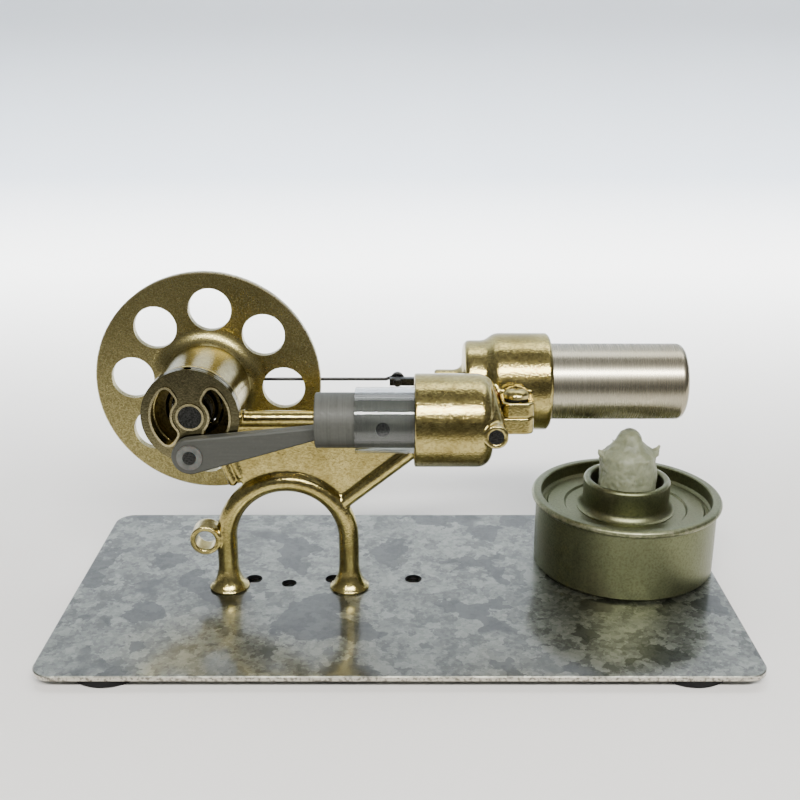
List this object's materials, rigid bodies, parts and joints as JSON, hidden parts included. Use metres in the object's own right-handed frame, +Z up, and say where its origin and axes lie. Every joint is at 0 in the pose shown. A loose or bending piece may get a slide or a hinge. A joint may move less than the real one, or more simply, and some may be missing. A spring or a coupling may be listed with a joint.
{
  "type": "stirling engine model",
  "caption": "Tabletop hot-air engine: flywheel and crank on a die-cast stand, glass power cylinder, steel hot tube and spirit burner on a plate.",
  "frame": {"origin": "on the surface that the rubber feet stand on, under the middle of the whole model", "axes": "+Z up, +X along the engine from the flywheel towards the hot tube and burner, +Y towards the displacer side at the back"},
  "size_m": [0.182, 0.092, 0.09],
  "materials": {
    "spangled_steel": "galvanised, spangled",
    "black_rubber": "matt",
    "gold_casting": "plated, glossy, orange peel",
    "gold_satin": "satin",
    "stainless": "brushed round, faint heat tint",
    "dark_steel": "oiled",
    "bright_steel": "ground",
    "piston_grey": "frosted",
    "rod_grey": "matt",
    "clear_glass": "clear",
    "milky_nylon": "translucent",
    "red_gasket": "matt",
    "tin_olive": "lacquered, satin",
    "cotton": "translucent, soaked",
    "alloy": "turned"
  },
  "bodies": {
    "root": {"base_plate": "spangled_steel", "rubber_feet": "black_rubber", "engine_frame": "gold_casting", "displacer_block": "gold_casting", "hot_tube": "stainless", "glass_cylinder": "clear_glass", "cylinder_gasket": "red_gasket", "gas_gasket": "red_gasket", "passage_plug": "dark_steel", "bracket_screw": "gold_casting", "bracket_washer": "black_rubber", "leg_screws": "dark_steel", "leg_washers": "dark_steel", "guide_bush": "milky_nylon", "front_bearing_outer_ring": "bright_steel", "rear_bearing_outer_ring": "bright_steel"},
    "crankshaft": {"main_shaft": "dark_steel", "crank_disc": "gold_casting", "disc_grub_screw": "dark_steel", "front_spacer": "alloy", "middle_sleeve": "alloy", "rear_spacer": "alloy", "flywheel": "gold_satin", "wheel_grub_screw": "dark_steel", "front_bearing_inner_ring": "bright_steel", "rear_bearing_inner_ring": "bright_steel"},
    "bearing_cages": {"front_bearing_balls": "bright_steel", "rear_bearing_balls": "bright_steel", "front_bearing_cage": "bright_steel", "rear_bearing_cage": "bright_steel"},
    "piston": {"power_piston": "piston_grey", "wrist_pin": "dark_steel"},
    "rod": {"connecting_rod": "rod_grey", "big_end_bush": "milky_nylon", "crank_pin": "dark_steel"},
    "displacer": {"displacer_can": "alloy", "displacer_cap": "alloy", "displacer_rod": "bright_steel", "rod_end": "dark_steel", "link_pin": "dark_steel", "link_pin_nut": "dark_steel"},
    "link": {"link_wire": "dark_steel", "rear_crank_pin": "dark_steel"},
    "burner": {"burner_can": "tin_olive", "burner_lid": "tin_olive", "wick_collar": "tin_olive", "burner_wick": "cotton"}
  },
  "joints": [
    {"name": "crank_turn", "type": "hinge", "parent": "root", "child": "crankshaft", "pos_m": [-0.0533, 0, 0.059], "axis": [0, 1, 0], "continuous": true},
    {"name": "cage_turn", "type": "hinge", "parent": "root", "child": "bearing_cages", "pos_m": [-0.0533, 0, 0.059], "axis": [0, 1, 0], "continuous": true},
    {"name": "piston_slide", "type": "slide", "parent": "root", "child": "piston", "axis": [1, 0, 0], "range_m": [-0.00858, 0.01042]},
    {"name": "rod_swing", "type": "hinge", "parent": "piston", "child": "rod", "pos_m": [-0.0046, -0.017, 0.059], "axis": [0, 1, 0], "range_deg": [0, 22]},
    {"name": "displacer_slide", "type": "slide", "parent": "root", "child": "displacer", "axis": [1, 0, 0], "range_m": [-0.016, 0]},
    {"name": "link_swing", "type": "hinge", "parent": "displacer", "child": "link", "pos_m": [-0.0011, 0.0146, 0.059], "axis": [0, 1, 0], "range_deg": [-10.4, 10.4]},
    {"name": "burner_slide", "type": "slide", "parent": "root", "child": "burner", "axis": [0, -1, 0], "range_m": [0, 0.03]}
  ],
  "couplings": [
    {"joint": "cage_turn", "follows": "crank_turn", "ratio": 0.375}
  ]
}
